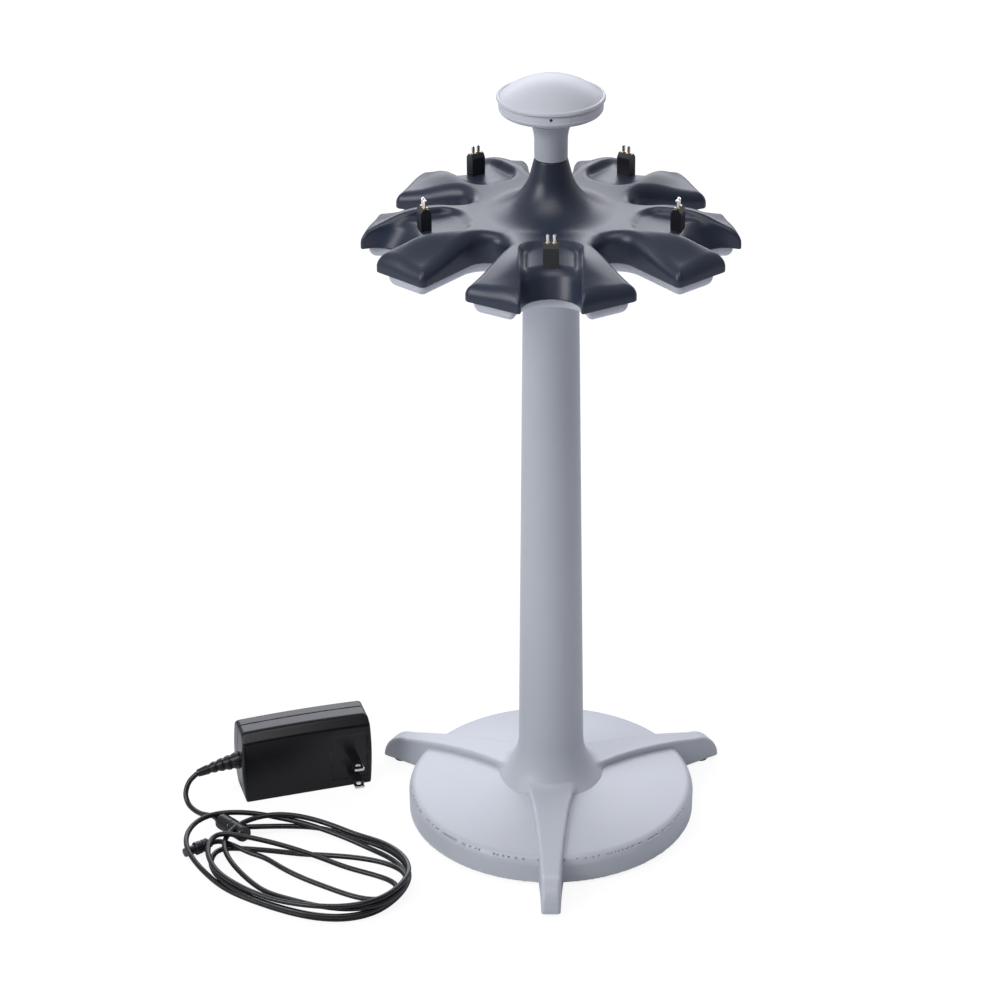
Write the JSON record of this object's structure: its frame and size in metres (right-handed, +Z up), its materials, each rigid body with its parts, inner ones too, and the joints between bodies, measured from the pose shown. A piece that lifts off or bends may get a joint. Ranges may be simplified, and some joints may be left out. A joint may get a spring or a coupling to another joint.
{
  "type": "pipette carousel stand",
  "caption": "Round weighted base with legs, a tapered column and a spinning rotor of notched prongs for hand-held pipettes, each with a spring-pin charging post, plus its plug-in supply.",
  "frame": {"origin": "on the axis of the column, on the face that the base rests on", "axes": "+Z up along the column, -Y out of the front leg and the first station, +X to the right seen from the front"},
  "size_m": [0.3379, 0.234, 0.4771],
  "materials": {
    "base_plastic": "moulded, satin",
    "column_plastic": "moulded, satin",
    "knob_plastic": "moulded, polished",
    "rotor_plastic": "moulded, satin",
    "cover_plastic": "moulded, satin",
    "black_plastic": "moulded",
    "adapter_plastic": "moulded, polished",
    "cord_jacket": "extruded jacket, satin",
    "rubber": "matt",
    "steel": "zinc plated",
    "nickel": "bright nickel",
    "brass": "bright",
    "pin_metal": "bright plated",
    "bronze": "sintered",
    "board": "solder mask",
    "lens": "tinted"
  },
  "bodies": {
    "stand": {"base_pad": "rubber", "bottom_plate": "steel", "plate_screws": "steel", "ballast_ring": "steel", "base_cover": "base_plastic", "foot_spider": "base_plastic", "leg_pads": "rubber", "dc_inlet": "black_plastic", "power_lead": "cord_jacket", "column": "column_plastic", "top_collar": "column_plastic", "mast_rod": "steel", "rod_nuts": "steel", "rod_washers": "steel", "axle_tube": "steel", "slip_ring_drum": "column_plastic", "slip_rings": "brass", "thrust_washer": "bronze", "neck_sleeve": "column_plastic", "knob_base": "knob_plastic", "knob_cap": "knob_plastic", "led_board": "board", "led_lens": "lens", "adapter_front": "adapter_plastic", "adapter_back": "adapter_plastic", "plug_blades": "nickel", "cord_relief": "cord_jacket", "supply_cord": "cord_jacket", "cord_coil": "cord_jacket", "cord_ferrite": "cord_jacket", "jack_plug": "cord_jacket"},
    "rotor": {"rotor_shell": "rotor_plastic", "rotor_cover": "cover_plastic", "cover_screws": "steel", "lower_bush": "bronze", "upper_bush": "bronze", "contact_board": "board", "brush_holder": "black_plastic", "brushes": "brass", "pin_barrels": "brass", "pin_springs": "steel", "contact_block_1": "black_plastic", "contact_block_2": "black_plastic", "contact_block_3": "black_plastic", "contact_block_4": "black_plastic", "contact_block_5": "black_plastic"},
    "plunger_1a": {"pin_1a": "pin_metal"},
    "plunger_1b": {"pin_1b": "pin_metal"},
    "plunger_2a": {"pin_2a": "pin_metal"},
    "plunger_2b": {"pin_2b": "pin_metal"},
    "plunger_3a": {"pin_3a": "pin_metal"},
    "plunger_3b": {"pin_3b": "pin_metal"},
    "plunger_4a": {"pin_4a": "pin_metal"},
    "plunger_4b": {"pin_4b": "pin_metal"},
    "plunger_5a": {"pin_5a": "pin_metal"},
    "plunger_5b": {"pin_5b": "pin_metal"}
  },
  "joints": [
    {"name": "rotor_spin", "type": "hinge", "parent": "stand", "child": "rotor", "pos_m": [0, 0, 0.395], "axis": [0, 0, 1], "continuous": true},
    {"name": "press_1a", "type": "slide", "parent": "rotor", "child": "plunger_1a", "axis": [0, 0, 1], "range_m": [-0.0016, 0], "stiffness_N_per_m": 150, "springref_m": 0.002},
    {"name": "press_1b", "type": "slide", "parent": "rotor", "child": "plunger_1b", "axis": [0, 0, 1], "range_m": [-0.0016, 0], "stiffness_N_per_m": 150, "springref_m": 0.002},
    {"name": "press_2a", "type": "slide", "parent": "rotor", "child": "plunger_2a", "axis": [0, 0, 1], "range_m": [-0.0016, 0], "stiffness_N_per_m": 150, "springref_m": 0.002},
    {"name": "press_2b", "type": "slide", "parent": "rotor", "child": "plunger_2b", "axis": [0, 0, 1], "range_m": [-0.0016, 0], "stiffness_N_per_m": 150, "springref_m": 0.002},
    {"name": "press_3a", "type": "slide", "parent": "rotor", "child": "plunger_3a", "axis": [0, 0, 1], "range_m": [-0.0016, 0], "stiffness_N_per_m": 150, "springref_m": 0.002},
    {"name": "press_3b", "type": "slide", "parent": "rotor", "child": "plunger_3b", "axis": [0, 0, 1], "range_m": [-0.0016, 0], "stiffness_N_per_m": 150, "springref_m": 0.002},
    {"name": "press_4a", "type": "slide", "parent": "rotor", "child": "plunger_4a", "axis": [0, 0, 1], "range_m": [-0.0016, 0], "stiffness_N_per_m": 150, "springref_m": 0.002},
    {"name": "press_4b", "type": "slide", "parent": "rotor", "child": "plunger_4b", "axis": [0, 0, 1], "range_m": [-0.0016, 0], "stiffness_N_per_m": 150, "springref_m": 0.002},
    {"name": "press_5a", "type": "slide", "parent": "rotor", "child": "plunger_5a", "axis": [0, 0, 1], "range_m": [-0.0016, 0], "stiffness_N_per_m": 150, "springref_m": 0.002},
    {"name": "press_5b", "type": "slide", "parent": "rotor", "child": "plunger_5b", "axis": [0, 0, 1], "range_m": [-0.0016, 0], "stiffness_N_per_m": 150, "springref_m": 0.002}
  ]
}
